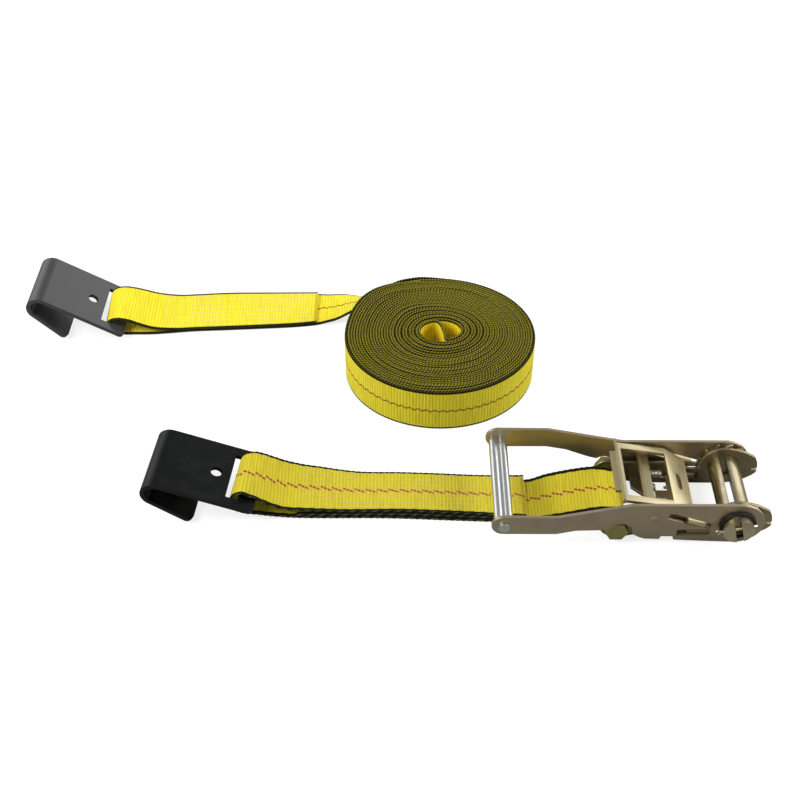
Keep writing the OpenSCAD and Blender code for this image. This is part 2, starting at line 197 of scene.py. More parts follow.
def cloth(g, coord, u, v, tone):
    """Colour and height of the yellow cloth: cross ribs, fine warp rows and uneven yarn, with painted shade
    in the rib valleys and painted highlights on the rib crests.
    """
    rib = g.math("POWER", g.math("SINE", g.math("MULTIPLY", u, math.pi / RIB)), 2.0)
    row = g.math("FLOOR", g.math("DIVIDE", u, RIB))
    shift = g.math("MULTIPLY", g.math("MODULO", row, 2.0), WARP / 2)
    warp = g.math("ABSOLUTE", g.math("SINE", g.math("MULTIPLY", g.math("ADD", v, shift), math.pi / WARP)))
    weave = g.math("MULTIPLY", g.math("ADD", 0.4, warp), rib)
    patch = g.noise(g.scaled(coord, (0.02, 0.06, 1)), 1.0)
    yarn = g.noise(g.scaled(coord, (0.28, 2.2, 1)), 1.0, 2.0, 0.6)
    uneven = g.noise(g.scaled(coord, (0.30, 0.04, 1)), 1.0, 2.0, 0.7)
    body = g.mix(g.math("MULTIPLY", patch, 0.5), tone("yellow"), tone("pale"))
    # Painted shade: the cloth darkens towards half its yellow in the valleys between the ribs.
    body = g.mix(g.math("MULTIPLY", g.ramp(weave, 0.8, 0.1), 0.34), body, tone("yellow", 0.5))
    body = g.mix(g.math("MULTIPLY", g.ramp(uneven, 0.48, 0.66), 0.36), body, tone("yellow", 0.62))
    # Painted highlight: raised rib crests with raised yarn go towards a pale yellow brighter than the cloth.
    lit = g.math("MULTIPLY", g.ramp(weave, 0.6, 1.2), g.ramp(yarn, 0.46, 0.66))
    body = g.mix(g.math("MULTIPLY", lit, 0.6), body, tone("pale", 1.12))
    return body, g.math("ADD", g.math("MULTIPLY", weave, 0.6), g.math("MULTIPLY", yarn, 0.3))


def trace(g, u, v, tracer, body, height):
    """Add the tracer to the front of the cloth: one waving thread, or two that cross with an orange fill."""
    front = g.math("LESS_THAN", u, BACK_OF_WEB / 2)
    swing = g.math("PINGPONG", g.math("DIVIDE", u, tracer["period"] / 2), 1.0)
    wave = g.math("MULTIPLY", g.math("SUBTRACT", swing, 0.5), 2 * tracer["reach"])
    strand = g.ramp(g.math("ABSOLUTE", g.math("SUBTRACT", v, wave)), 1.3, 0.75)
    if "filling" in tracer:
        other = g.ramp(g.math("ABSOLUTE", g.math("ADD", v, wave)), 1.3, 0.75)
        rising = g.math("LESS_THAN", g.math("MODULO", u, tracer["period"]), tracer["period"] / 2)
        both = g.math("MULTIPLY", g.math("MAXIMUM", strand, other), front)
        body = g.mix(g.math("MULTIPLY", both, 0.7), body, tracer["filling"])
        strand = g.math("ADD", g.math("MULTIPLY", strand, rising),
                        g.math("MULTIPLY", other, g.math("SUBTRACT", 1.0, rising)))
        dashed = g.ramp(g.math("SINE", g.math("MULTIPLY", u, 2 * math.pi / DASH)), -1.2, -0.3)
        strand = g.math("MULTIPLY", strand, dashed)
    strand = g.math("MULTIPLY", strand, front)
    body = g.mix(g.math("MULTIPLY", strand, 0.92), body, tracer["tone"])
    return body, g.math("ADD", height, g.math("MULTIPLY", strand, 0.7))


def selvedge(g, coord, u, v, length, look, tone, wide_from):
    """Colour and flecks of the braided black edge, and how far a point is inside it (0 or 1)."""
    braid = look["braid"]
    av = g.math("ABSOLUTE", v)
    slant = g.math("ADD", u, g.math("MULTIPLY", v, 0.35 * braid))
    fleck_wave = g.math("SINE", g.math("MULTIPLY", slant, 2 * math.pi / braid))
    speck = g.noise(g.scaled(coord, (0.7, 0.9, 1)), 1.0, 2.0)
    fleck = g.ramp(g.math("ADD", fleck_wave, g.math("MULTIPLY", speck, 1.2)), 0.9, 1.5)
    crown = g.ramp(g.math("ABSOLUTE", g.math("SUBTRACT", av, EDGE_CROWN)), 1.7, 0.7)
    fleck = g.math("MULTIPLY", fleck, crown)
    base = g.mix(g.math("MULTIPLY", crown, 0.85), BLACK, tone("edge"))
    reach = g.math("MULTIPLY", g.math("SINE", g.math("MULTIPLY", u, 2 * math.pi / braid)), 0.2)
    reach = g.math("ADD", reach, HALF - SELVEDGE)
    if wide_from:
        broad = g.ramp(length, wide_from, wide_from + 30)
        reach = g.math("SUBTRACT", reach, g.math("MULTIPLY", broad, SELVEDGE_EXTRA))
    inside = g.ramp(av, g.math("SUBTRACT", reach, 0.2), g.math("ADD", reach, 0.15))
    return g.mix(fleck, base, tone("fleck")), fleck, inside


def webbing(name, look, tracer, later=None, wide_from=None):
    """Woven web with a black selvedge and a tracer thread on its front.

    later is a second look and the two lengths between which it takes over, and wide_from is the length past
    which the selvedge is broader.
    """
    g = material_graph(name)
    coord, u, v = g.uv()
    length = g.math("MODULO", u, BACK_OF_WEB)

    def tone(key, scale=1.0):
        first = tuple(c * scale for c in look[key])
        if later is None:
            return first
        return g.mix(g.ramp(length, later[1], later[2]), first, tuple(c * scale for c in later[0][key]))

    body, height = cloth(g, coord, u, v, tone)
    body, height = trace(g, u, v, tracer, body, height)
    edge_tone, fleck, edge = selvedge(g, coord, u, v, length, look, tone, wide_from)
    normal = g.bump(g.math("ADD", height, g.math("MULTIPLY", fleck, 0.9)), 0.00032, 0.7)
    middle = g.math("SUBTRACT", 1.0, edge)
    return g.finish(Base_Color=g.mix(edge, body, edge_tone), Roughness=0.75, Normal=normal,
                    Sheen_Weight=g.math("MULTIPLY", middle, 0.08), Sheen_Roughness=0.5,
                    Specular_IOR_Level=g.math("MULTIPLY_ADD", middle, 0.12, 0.12))


def plated(name, base, tint, rough, grain=(60, 60, 60), metallic=1.0, cloud=0.6, wear=0.25):
    """Plated steel with cloudy colour, faint rolling grain, fine pits and brighter rubbed spots."""
    g = material_graph(name)
    place = g.place()
    cloudy = g.ramp(g.noise(place, 28.0, 4.0, 0.6), 0.35, 0.68)
    colour = g.mix(g.math("MULTIPLY", cloudy, cloud), base, tint)
    rubbed = g.ramp(g.noise(place, 190.0, 5.0, 0.7), 0.62, 0.74)
    colour = g.mix(g.math("MULTIPLY", rubbed, wear), colour, tuple(min(1.0, c * 1.55 + 0.05) for c in base))
    lines = g.noise(g.scaled(place, grain), 30.0, 2.0, 0.6)
    pits = g.noise(place, 2200.0, 2.0, 0.5)
    uneven = g.math("ADD", g.math("MULTIPLY", cloudy, 0.10), g.math("MULTIPLY", lines, 0.12))
    height = g.math("ADD", g.math("MULTIPLY", lines, 0.6), g.math("MULTIPLY", pits, 0.4))
    normal = g.bump(height, 0.00012, 0.55)
    return g.finish(Base_Color=colour, Metallic=metallic, Roughness=g.math("ADD", rough, uneven),
                    Normal=normal)


def painted(name, base, rough, shine):
    """Black paint on steel: fine orange peel, dusty patches and a few rubbed scratches."""
    g = material_graph(name)
    place = g.place()
    dust = g.ramp(g.noise(place, 36.0, 5.0, 0.65), 0.45, 0.75)
    colour = g.mix(g.math("MULTIPLY", dust, 0.30), base, tuple(c * 2.0 + 0.004 for c in base))
    scratch = g.ramp(g.noise(g.scaled(place, (1, 14, 1)), 60.0, 3.0, 0.6), 0.69, 0.73)
    colour = g.mix(g.math("MULTIPLY", scratch, 0.35), colour, (0.10, 0.10, 0.10))
    peel = g.noise(place, 900.0, 2.0, 0.5)
    normal = g.bump(g.math("ADD", peel, g.math("MULTIPLY", scratch, -0.4)), 0.00015, 0.5)
    return g.finish(Base_Color=colour, Roughness=g.math("ADD", rough, g.math("MULTIPLY", dust, 0.15)),
                    Normal=normal, Specular_IOR_Level=shine)


def thread(name, tone):
    """Sewing thread with a twist."""
    g = material_graph(name)
    twist = g.math("SINE", g.math("MULTIPLY", g.noise(g.place(), 700.0, 2.0), 9.0))
    colour = g.mix(g.ramp(twist, -0.6, 0.8), tuple(c * 0.7 for c in tone), tone)
    return g.finish(Base_Color=colour, Roughness=0.6, Sheen_Weight=0.3, Normal=g.bump(twist, 0.0002, 0.5))


def white_floor(name):
    """A floor that the camera sees as lit white card, and that other rays meet as grey."""
    g = material_graph(name)
    rays = g.node("ShaderNodeLightPath")
    glow = g.node("ShaderNodeEmission")
    glow.inputs["Strength"].default_value = 0.78
    seen = g.node("ShaderNodeBsdfDiffuse")
    seen.inputs["Color"].default_value = (0.30, 0.30, 0.30, 1)
    grey = g.node("ShaderNodeBsdfDiffuse")
    grey.inputs["Color"].default_value = (0.24, 0.24, 0.23, 1)
    both = g.node("ShaderNodeAddShader")
    pick = g.node("ShaderNodeMixShader")
    g.tree.links.new(glow.outputs[0], both.inputs[0])
    g.tree.links.new(seen.outputs[0], both.inputs[1])
    g.tree.links.new(rays.outputs["Is Camera Ray"], pick.inputs[0])
    g.tree.links.new(grey.outputs[0], pick.inputs[1])
    g.tree.links.new(both.outputs[0], pick.inputs[2])
    g.tree.links.new(pick.outputs[0], g.tree.nodes["Material Output"].inputs["Surface"])
    return g.owner


SHORT_LOOK = {"yellow": (0.55, 0.45, 0.010), "pale": (0.63, 0.55, 0.035), "edge": (0.007, 0.008, 0.003),
              "fleck": (0.13, 0.13, 0.055), "braid": 10.9}
LONG_LOOK = {"yellow": (0.84, 0.70, 0.008), "pale": (0.90, 0.80, 0.06), "edge": (0.006, 0.007, 0.003),
             "fleck": (0.11, 0.10, 0.012), "braid": RIB}
COIL_LOOK = {"yellow": (0.82, 0.64, 0.002), "pale": (0.86, 0.71, 0.010), "edge": (0.072, 0.064, 0.008),
             "fleck": (0.36, 0.31, 0.018), "braid": RIB}
CHAIN = {"period": 21.8, "reach": 1.9, "tone": (0.13, 0.022, 0.006), "filling": (0.66, 0.34, 0.05)}
WAVE = {"period": 8.4, "reach": 1.15, "tone": (0.27, 0.085, 0.006)}

FINISHES = {
    "frame_steel": plated("frame_plating", (0.38, 0.33, 0.20), (0.24, 0.19, 0.10), 0.30),
    "handle_steel": plated("handle_plating", (0.50, 0.43, 0.29), (0.44, 0.33, 0.25), 0.32, (8, 60, 60)),
    "pawl_steel": plated("pawl_plating", (0.68, 0.60, 0.37), (0.57, 0.49, 0.28), 0.26, cloud=0.4, wear=0.1),
    "wheel_steel": plated("wheel_plating", (0.52, 0.46, 0.30), (0.28, 0.23, 0.12), 0.30),
    "spindle_steel": plated("spindle_plating", (0.62, 0.55, 0.36), (0.34, 0.28, 0.17), 0.12, (60, 4, 60),
                            wear=0.1),
    "bolt_steel": plated("bolt_plating", (0.46, 0.42, 0.17), (0.33, 0.29, 0.10), 0.32),
    "spring_steel": plated("spring_wire", (0.62, 0.62, 0.60), (0.45, 0.44, 0.40), 0.25),
    "grip_metal": plated("grip_metal_satin", (0.82, 0.84, 0.82), (0.64, 0.67, 0.66), 0.13, (60, 3, 60),
                         wear=0.1),
    "pin_steel": plated("pin_wire", (0.60, 0.56, 0.46), (0.38, 0.34, 0.24), 0.28),
    # The washer's near-black colour is partly black oxide and partly painted shade from the pin and plates
    # around it.
    "dark_washer": plated("washer_oxide_and_painted_shade", (0.020, 0.019, 0.016), (0.045, 0.04, 0.03), 0.42, metallic=0.6),
    "rivet_steel": plated("rivet_satin", (0.62, 0.66, 0.64), (0.40, 0.42, 0.36), 0.22),
    "black_hook": painted("hook_black_paint", (0.0025, 0.0028, 0.003), 0.30, 0.25),
    # The long hook has the short hook's black paint; its much lighter base colour is painted reflection of
    # the bright light that its tilted face mirrors.
    "grey_hook": painted("hook_paint_painted_reflection", (0.030, 0.032, 0.031), 0.34, 0.95),
}

# ---------------------------------------------------------------- mesh helpers


def new_object(name, verts, faces, material, slot=None, body=None, uvs=None):
    """A smooth-shaded mesh object in metres from millimetre points."""
    mesh = bpy.data.meshes.new(name)
    mesh.from_pydata((np.asarray(verts, float) * MM).tolist(), [], faces)
    if uvs is not None:
        layer = mesh.uv_layers.new(name="UVMap")
        layer.data.foreach_set("uv", np.asarray(uvs, np.float32).ravel())
    mesh.polygons.foreach_set("use_smooth", [True] * len(mesh.polygons))
    mesh.update()
    obj = bpy.data.objects.new(name, mesh)
    bpy.context.scene.collection.objects.link(obj)
    mesh.materials.append(material)
    if body:
        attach(obj, body)
    return obj


def spline(points, per_span=24):
    """Catmull-Rom curve through control points, with centripetal knots."""
    p = np.asarray(points, float)
    p = np.vstack([2 * p[0] - p[1], p, 2 * p[-1] - p[-2]])
    knots = np.concatenate([[0], np.cumsum(np.sqrt(np.linalg.norm(np.diff(p[:, :3], axis=0), axis=1)))])
    out = []
    for i in range(1, len(p) - 2):
        t0, t1, t2, t3 = knots[i - 1:i + 3]
        t = np.linspace(t1, t2, per_span, endpoint=False)[:, None]
        a1 = (t1 - t) / (t1 - t0) * p[i - 1] + (t - t0) / (t1 - t0) * p[i]
        a2 = (t2 - t) / (t2 - t1) * p[i] + (t - t1) / (t2 - t1) * p[i + 1]
        a3 = (t3 - t) / (t3 - t2) * p[i + 1] + (t - t2) / (t3 - t2) * p[i + 2]
        b1 = (t2 - t) / (t2 - t0) * a1 + (t - t0) / (t2 - t0) * a2
        b2 = (t3 - t) / (t3 - t1) * a2 + (t - t1) / (t3 - t1) * a3
        out.append((t2 - t) / (t2 - t1) * b1 + (t - t1) / (t2 - t1) * b2)
    out.append(p[-2][None, :])
    return np.vstack(out)


def resample(rows, step):
    """Rows whose first three columns are a path, spaced evenly along it."""
    gaps = np.linalg.norm(np.diff(rows[:, :3], axis=0), axis=1)
    along = np.concatenate([[0], np.cumsum(gaps)])
    count = max(2, int(round(along[-1] / step)) + 1)
    at = np.linspace(0, along[-1], count)
    return np.column_stack([np.interp(at, along, rows[:, k]) for k in range(rows.shape[1])]), at


def web_section(columns, arc):
    """Section of the web as (across, out, v start, v end, side) per point, walked once round."""
    r = WEB_T / 2
    flat = np.linspace(-(HALF - r), HALF - r, columns + 1)
    points = [(v, r, 1) for v in flat]
    points += [(HALF - r + r * math.sin(a), r * math.cos(a), 0)
               for a in np.linspace(0, math.pi, arc + 2)[1:-1]]
    points += [(v, -r, -1) for v in flat[::-1]]
    points += [(-(HALF - r) - r * math.sin(a), r * math.cos(a), 0)
               for a in np.linspace(math.pi, 0, arc + 2)[1:-1]]
    count = len(points)
    spans = []
    edge = HALF - r
    turn = math.pi * r / (arc + 1)
    for j in range(count):
        a, b = points[j], points[(j + 1) % count]
        if a[2] == b[2] and a[2] != 0:
            spans.append((a[0], b[0]))
        else:
            sign = 1 if (a[0] + b[0]) > 0 else -1
            step = (j - columns) if sign > 0 else (count - j)
            start = edge + turn * step
            end = start + (turn if sign > 0 else -turn)
            spans.append((sign * start, sign * end))
    return points, spans


def ribbon(name, centre, across, u, material, columns=20, arc=4, ribs=RIB_RISE, braid=RIB, **where):
    """A web swept along centre points (N x 3), with across vectors pointing to one edge.

    u is the length at each point, ribs the height of the cross ribs and braid the pitch of the edges' bumps.
    """
    centre, across = np.asarray(centre, float), np.asarray(across, float)
    across = across / np.linalg.norm(across, axis=1)[:, None]
    tangent = np.gradient(centre, axis=0)
    out = np.cross(across, tangent)
    out /= np.linalg.norm(out, axis=1)[:, None]
    points, spans = web_section(columns, arc)
    wave = np.sin(np.pi * u / RIB) ** 2 - 0.5
    lean = np.sin(2 * np.pi * u / braid)
    n, m = len(centre), len(points)
    verts = np.empty((n, m, 3))
    for j, (v, h, side) in enumerate(points):
        flatness = np.clip((HALF - 0.8 - abs(v)) / 2.0, 0, 1)
        rise = side * ribs * 2 * wave * flatness
        if side:
            verts[:, j] = centre + across * v + out * (h + rise)[:, None]
        else:
            bulge = ribs * 2.2 * lean * (1 if v > 0 else -1)
            verts[:, j] = centre + across * (v + bulge)[:, None] + out * h
    index = np.arange(n * m).reshape(n, m)
    nxt = np.roll(index, -1, axis=1)
    quads = np.stack([index[:-1], nxt[:-1], nxt[1:], index[1:]], axis=-1).reshape(-1, 4)
    faces = quads.tolist()
    span = np.array(spans)
    sides = [point[2] for point in points]
    behind = np.array([BACK_OF_WEB if a == b == -1 else 0.0 for a, b in zip(sides, sides[1:] + sides[:1])])
    uv = np.empty((n - 1, m, 4, 2))
    uv[..., 0, 0] = uv[..., 1, 0] = u[:-1, None] + behind
    uv[..., 2, 0] = uv[..., 3, 0] = u[1:, None] + behind
    uv[..., 0, 1] = uv[..., 3, 1] = span[None, :, 0]
    uv[..., 1, 1] = uv[..., 2, 1] = span[None, :, 1]
    faces.append(index[0][::-1].tolist())
    faces.append(index[-1].tolist())
    caps = [[u[0], point[0]] for point in reversed(points)] + [[u[-1], point[0]] for point in points]
    uvs = np.vstack([uv.reshape(-1, 2), np.array(caps)])
    return new_object(name, verts.reshape(-1, 3), faces, material, uvs=uvs, **where)


def edges_to_web(near, far, step, start=0.0):
    """Centre line, across vectors and length along from two edge curves of equal point count."""
    a, b = spline(near), spline(far)
    rows, along = resample(np.hstack([(a + b) / 2, a - b]), step)
    return rows[:, :3], -rows[:, 3:6], along + start


def mid_web(stations):
    """Near and far edge points of a web from (x, y, z, tilt in degrees) stations along its middle."""
    near, far = [], []
    for x, y, z, tilt in stations:
        a = math.radians(tilt)
        side = np.array([0.0, HALF * math.cos(a), HALF * math.sin(a)])
        near.append(np.array([x, y, z]) - side)
        far.append(np.array([x, y, z]) + side)
    return near, far


def round_bar(bar, yaw, near_y, far_y, near_loop, far_loop):
    """Edge points of a web going round a hook bar, from (x, z) offsets in the bar's own plan direction."""
    near, far = [], []
    for (nx, nz), (fx, fz) in zip(near_loop, far_loop):
        near.append(np.array([bar[0] + nx - near_y * math.sin(yaw), bar[1] + near_y, bar[2] + nz]))
        far.append(np.array([bar[0] + fx - far_y * math.sin(yaw), bar[1] + far_y, bar[2] + fz]))
    return near, far


# ---------------------------------------------------------------- short strap
#
# One web: it starts as the top layer, goes left and round the hook bar, comes back along the floor, goes
# round the anchor sleeve and ends between the other two layers.

STEP = 0.55
LEVEL = [FLOOR + WEB_T / 2 + i * (LAYER + 0.02) for i in range(3)]
SHORT_YAW = math.radians(-6.15)
TOP_END = BOLT[0] - 80.5
MIDDLE_END = SHORT_BAR[0] + 43

top_stations = [
    (TOP_END, 9.7, LEVEL[2] + 0.5, 4),
    (TOP_END - 25, 10.6, LEVEL[2] + 0.2, 1.5),
    (TOP_END - 50, 12.0, LEVEL[2], 0),
    (TOP_END - 85, 14.0, LEVEL[2], 0),
    (TOP_END - 120, 15.5, LEVEL[2], 0),
    (SHORT_BAR[0] + 103, 15.2, LEVEL[2] + 0.4, 1.5),
    (SHORT_BAR[0] + 84, 14.6, LEVEL[2] + 2.6, 5),
    (SHORT_BAR[0] + 65, 14.0, LEVEL[2] + 5.8, 9.5),
    (SHORT_BAR[0] + 47, 13.0, LEVEL[2] + 9.4, 13.5),
]
# The loop's near and far edges round the hook bar, as (x, z) from the bar's middle.
turn_near = [(34, -13.3), (22, -7.8), (12, -0.9), (3.2, 5.6), (-4.4, 9.4), (-11.4, 6.8), (-15.4, -0.8),
             (-15.0, -8.0), (-10.5, -13.8), (-2.5, -17.0), (8, -18.4), (22, -20.8), (38, -22.6), (52, -23.4)]
turn_far = [(30, 4.0), (19, 9.0), (9, 13.4), (1, 15.2), (-6, 13.8), (-11.2, 9.2), (-13.4, 3.0),
            (-13.2, -4.0), (-10.0, -10.6), (-3.5, -15.4), (7, -18.6), (22, -21.2), (38, -22.8), (52, -23.4)]
floor_stations = [
    (SHORT_BAR[0] + 80, 11.8, LEVEL[0], 0),
    (SHORT_BAR[0] + 130, 11.6, LEVEL[0], 0),
    (TOP_END - 60, 8.4, LEVEL[0], 0),
    (TOP_END, 5.6, LEVEL[0], 0),
    (BOLT[0] - 50, 2.0, LEVEL[0] + 0.3, 0),
    (BOLT[0] - 28, -0.5, BOLT[2] - 11.4, 0),
    (BOLT[0] - 10, -1.2, BOLT[2] - 9.8, 1),
]
SLEEVE_LOOP = SLEEVE_R + 0.35 + WEB_T / 2
sleeve_stations = [(BOLT[0] + SLEEVE_LOOP * math.sin(a), -1.2 + 3.0 * a / math.pi,
                    BOLT[2] - SLEEVE_LOOP * math.cos(a), 1 + a)
                   for a in np.radians([8, 38, 68, 98, 128, 158, 184])]
middle_stations = [
    (BOLT[0] - 15, 3.6, BOLT[2] + 8.4, 8),
    (BOLT[0] - 28, 5.0, BOLT[2] + 4.4, 10),
    (BOLT[0] - 45, 6.2, BOLT[2] - 1.5, 11),
    (BOLT[0] - 60, 7.0, BOLT[2] - 6.6, 9),
    (BOLT[0] - 73, 7.0, LEVEL[1] + 0.7, 4),
    (BOLT[0] - 84, 7.1, LEVEL[1] + 0.05, 0.5),
    (TOP_END - 50, 10.2, LEVEL[1], 0),
    (TOP_END - 120, 13.2, LEVEL[1], 0),
    (MIDDLE_END + 60, 13.0, LEVEL[1], 0),
    (MIDDLE_END, 12.6, LEVEL[1], 0),
]
pieces = [mid_web(top_stations),
          round_bar(SHORT_BAR, SHORT_YAW, -HALF + 1.5, HALF + 1.5, turn_near, turn_far),
          mid_web(floor_stations), mid_web(sleeve_stations), mid_web(middle_stations)]
near_edge = [p for part in pieces for p in part[0]]
far_edge = [p for part in pieces for p in part[1]]
centre, across, along = edges_to_web(near_edge, far_edge, STEP)
SHORT_TOP = TOP_END - SHORT_BAR[0] - 42
web_short = webbing("short_web_weave", SHORT_LOOK, CHAIN, wide_from=SHORT_TOP + 70)
short_web = ribbon("short_webbing_sewn", centre, across, along, web_short, slot="yellow_web",
                   body="short_strap", braid=SHORT_LOOK["braid"] / 2)
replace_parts(short_web, "short_webbing")
SHORT_PATH = (centre, across, along)

# ---------------------------------------------------------------- coil

# The coil: middle of its core, middle of its outermost turn, half sizes of the core and layers a side.
CORE = np.array([-267.2, 202.3]) + (ROLL_LO[:2] + ROLL_HI[:2]) / 2 - np.array([-268.5, 197.2])
SPREAD = (ROLL_HI - ROLL_LO)[:2] / 2
COIL_CENTRE = (ROLL_LO[:2] + ROLL_HI[:2]) / 2 + np.array([-1.35, -1.3])
CORE_A, CORE_B = 21.5, 16.2
LAYERS = 27
LOOSE_LAYERS, LOOSE_PITCH, TIGHT_PITCH = 8, 3.3, 2.7
FULL_DEPTH = LOOSE_LAYERS * LOOSE_PITCH + (LAYERS - 1 - LOOSE_LAYERS) * TIGHT_PITCH
GROW_A = (SPREAD[0] - WEB_T / 2 - CORE_A) / FULL_DEPTH
GROW_B = (SPREAD[1] - WEB_T / 2 - CORE_B) / (FULL_DEPTH + TIGHT_PITCH / 2)
TOUCH = 0.62
# The coil stands out to the back left by SWELL, round an angle.
SWELL, SWELL_AT, SWELL_SPREAD = 10.3, math.radians(130), math.radians(25)


def depth(layer):
    """How far a layer lies outside the core, loose near the middle and tight outside."""
    return np.where(layer < LOOSE_LAYERS, layer * LOOSE_PITCH,
                    LOOSE_LAYERS * LOOSE_PITCH + (layer - LOOSE_LAYERS) * TIGHT_PITCH)


def coil_point(angle, layer, second):
    """Point of a coil arm at an angle in radians and a layer number, in millimetres."""
    d = depth(layer) - (TOUCH * np.clip(1.6 - layer / LOOSE_LAYERS, 0, 1) if second else 0.0)
    share = np.clip(layer / (LAYERS - 1), 0, 1)
    centre = CORE + (COIL_CENTRE - CORE) * np.asarray(share)[..., None]
    ripple = 0.5 * np.sin(2 * angle + 0.7) + 0.35 * np.sin(3 * angle + 2.1)
    ripple = ripple * np.clip(share * 3, 0, 1) * (1 - share ** 4)
    turned = (np.asarray(angle) - SWELL_AT + math.pi) % (2 * math.pi) - math.pi
    ripple = ripple + SWELL * share ** 1.2 * np.exp(-(turned / SWELL_SPREAD) ** 2)
    x = (CORE_A + GROW_A * d + ripple) * np.cos(angle)
    y = (CORE_B + GROW_B * d + ripple) * np.sin(angle)
    return np.stack([centre[..., 0] + x, centre[..., 1] + y], axis=-1)


def coil_arm(first, last, second, per_turn=220):
    """Points of one arm between two layer numbers; an arm moves out two layers a turn."""
    start = math.radians(122 + (180 if second else 0))
    layer = np.linspace(first, last, int((last - first) / 2 * per_turn) + 1)
    return coil_point(start + layer * math.pi, layer, second), layer


def core_lead(second):
    """The S in the middle: from the core's centre out to the start of an arm."""
    sign = -1 if second else 1
    start, _ = coil_arm(0, 0.3, second)
    tangent = (start[3] - start[0]) / np.linalg.norm(start[3] - start[0])
    p0 = CORE + np.array([2.6, 0.0])
    p1 = p0 + sign * np.array([-2.2, 9.6])
    p3 = start[0]
    p2 = p3 - tangent * 10.5
    t = np.linspace(0, 1, 40)[:, None]
    return ((1 - t) ** 3 * p0 + 3 * (1 - t) ** 2 * t * p1 + 3 * (1 - t) * t ** 2 * p2 + t ** 3 * p3)[:-1]


def standing(path, lift):
    """Station rows for a web on edge: x, y and z of its middle."""
    z = np.full(len(path), FLOOR + HALF + 0.15) + lift
    return np.column_stack([path, z])


TAIL_LAYER = LAYERS - 0.18
FREE_LAYER = LAYERS - 1.12
OUTER_FROM = TAIL_LAYER - 2

inner_a, _ = coil_arm(0, FREE_LAYER, False)
inner_b, _ = coil_arm(0, OUTER_FROM, True)
path = np.vstack([inner_a[::-1], core_lead(False)[::-1], core_lead(True)[1:], inner_b])
turns = np.concatenate([[0], np.cumsum(np.linalg.norm(np.diff(path, axis=0), axis=1))])
lift = 0.55 * np.sin(turns / 61.0) + 0.4 * np.sin(turns / 23.0 + 1.3)
lift = np.clip(lift, -0.1, None)
lift[-40:] *= np.linspace(1, 0, 40)
rows, along = resample(standing(path, lift), RIB / 2.5)
up = np.tile([0.0, 0.0, 1.0], (len(rows), 1))
web_coil = webbing("coil_web_weave", COIL_LOOK, WAVE)
coil = ribbon("long_webbing_coil", rows, up, along, web_coil, columns=6, arc=4, ribs=0.06,
              slot="coiled_web", body="long_strap")
coil_end = along[-1]

# ---------------------------------------------------------------- long strap, from the coil's last turn

TAIL_END = -402.6
TURN_X, BEHIND_Y = -330, 250
outer, _ = coil_arm(OUTER_FROM, TAIL_LAYER, True)
outer = standing(outer, 0.0)
near_edge = [p + [0, 0, HALF] for p in outer[::6]]
far_edge = [p - [0, 0, HALF] for p in outer[::6]]
# Foot of the web as it twists from on edge to flat: x, y, and degrees it still stands up.
tail_stations = [(-286, 289.4, 89), (-300, 293.2, 82.5), (-312, 298.0, 74), (-323, 303.0, 63),
                 (-340, 311.0, 44), (-355, 316.6, 26), (-371, 320.2, 12), (-381, 320.5, 5.5),
                 (-390, 320.0, 2.5)]
for x, far_y, rise in tail_stations:
    a = math.radians(rise)
    foot = np.array([x, far_y, FLOOR + WEB_T / 2 + 0.1])
    far_edge.append(foot)
    near_edge.append(foot + np.array([0.0, -WEB_W * math.cos(a), WEB_W * math.sin(a)]))

lower = [(TAIL_END, 292.8, 2.6), (-425, 289.2, 6.0), (-448, 287.2, 7.8), (-500, 283.6, 11.0),
         (-538, 281.4, 10.5)]
LOWER_NEAR_Z = FLOOR + WEB_T / 2 + 0.1


def leaning(x, y, tilt, near_z):
    """Station whose near edge is at near_z and whose far edge rises by the tilt."""
    return (x, y, near_z + HALF * math.sin(math.radians(tilt)), tilt)


part = mid_web([leaning(x, y, tilt, LOWER_NEAR_Z) for x, y, tilt in lower])
near_edge += part[0]
far_edge += part[1]
LONG_YAW = math.radians(-1.66)
hook_near = [(36, -10.1), (20, -10.1), (5, -10.1), (-5, -9.2), (-10.5, -6.0), (-12.6, -1.0),
             (-10.8, 4.6), (-4.8, 8.8), (2.5, 9.8), (11.5, 7.8), (23.5, 2.2), (38, -3.2)]
hook_far = [(42, -8.2), (24, -9.6), (4, -9.9), (-6, -8.6), (-11.6, -4.0), (-13.6, 3.0),
            (-12.2, 9.8), (-6.0, 15.0), (2.5, 16.5), (11.5, 15.4), (23.5, 12.4), (39, 7.8)]
part = round_bar(LONG_BAR, LONG_YAW, -HALF + 0.1, HALF + 0.1, hook_near, hook_far)
near_edge += part[0]
far_edge += part[1]
part = mid_web([leaning(x, y, tilt, LOWER_NEAR_Z + LAYER + 0.1)
                for x, y, tilt in [(-556, 280.2, 10.8)] + lower[::-1]])
near_edge += part[0]
far_edge += part[1]
centre, across, along = edges_to_web(near_edge, far_edge, STEP, coil_end)
# The coil's look gives way to the tail's where the web turns flat behind the coil.
behind = np.where(centre[:, 1] > BEHIND_Y, np.abs(centre[:, 0] - TURN_X), np.inf)
lift_off = float(along[np.argmin(behind)])
web_long = webbing("long_web_weave", COIL_LOOK, WAVE, later=(LONG_LOOK, lift_off - 25, lift_off + 20))
long_web = ribbon("long_webbing_run", centre, across, along, web_long, slot="yellow_web", body="long_strap")
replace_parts(coil, "long_webbing_roll")
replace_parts(long_web, "long_webbing_tail")
LONG_PATH = (centre, across, along)

# ---------------------------------------------------------------- sewing

STITCH_ROWS = (-20.3, -14.5, -8.7, -2.9, 2.9, 8.7, 14.5, 20.3)


STITCH_R = 0.36
BAR_STITCH_R = 0.42
THREAD_LIFT = 0.12
# Along a stitch: how far, how thick and how high it bows, the last two in thread radii.
STITCH_SHAPE = ((0.0, 0.35, -0.5), (0.25, 0.9, 0.45), (0.5, 1.0, 0.6), (0.75, 0.9, 0.45), (1.0, 0.35, -0.5))


